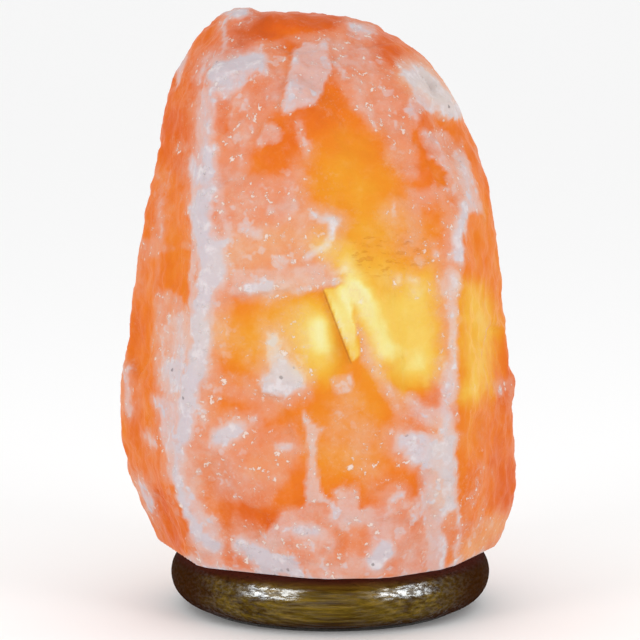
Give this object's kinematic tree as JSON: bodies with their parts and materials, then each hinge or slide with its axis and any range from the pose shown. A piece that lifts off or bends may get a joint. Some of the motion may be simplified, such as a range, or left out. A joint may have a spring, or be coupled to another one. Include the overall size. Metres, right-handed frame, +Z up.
{
  "type": "salt crystal lamp",
  "caption": "Table lamp: a hewn, hollowed block of rock salt on a round varnished wooden base, lit from inside by a small bulb in a lampholder that pulls out from below.",
  "frame": {"origin": "on the table, under the middle of the round base", "axes": "+Z up, -Y the front that the picture shows, +X to its right"},
  "size_m": [0.1536, 0.1394, 0.2318],
  "materials": {
    "rock_salt": "matte",
    "varnished_wood": "gloss",
    "felt": "matte",
    "zinc_steel": "satin",
    "spring_steel": "satin",
    "nylon": "matte",
    "holder_plastic": "satin",
    "steatite": "matte",
    "brass": "satin",
    "clear_glass": "polished",
    "black_glass": "gloss",
    "solder": "satin",
    "nickel_wire": "satin",
    "tungsten": "satin"
  },
  "bodies": {
    "lamp": {"salt_crystal": "rock_salt", "wooden_base": "varnished_wood", "felt_ring": "felt", "base_screws": "zinc_steel", "wall_plugs": "nylon"},
    "lampholder": {"holder_shell": "holder_plastic", "holder_cap": "holder_plastic", "contact_block": "steatite", "screw_shell": "brass", "centre_contact": "brass", "terminal_screws": "brass", "spring_clip": "spring_steel", "threaded_nipple": "zinc_steel", "nipple_nut": "zinc_steel"},
    "bulb": {"bulb_glass": "clear_glass", "bulb_cap": "brass", "cap_insulator": "black_glass", "cap_contact": "solder", "glass_stem": "clear_glass", "lead_wires": "nickel_wire", "filament": "tungsten", "filament_supports": "nickel_wire"}
  },
  "joints": [
    {"name": "lamp_lift", "type": "slide", "parent": "lampholder", "child": "lamp", "axis": [0, 0, 1], "range_m": [0, 0.14]},
    {"name": "bulb_lift", "type": "slide", "parent": "lampholder", "child": "bulb", "axis": [0, 0, 1], "range_m": [0, 0.02]}
  ]
}
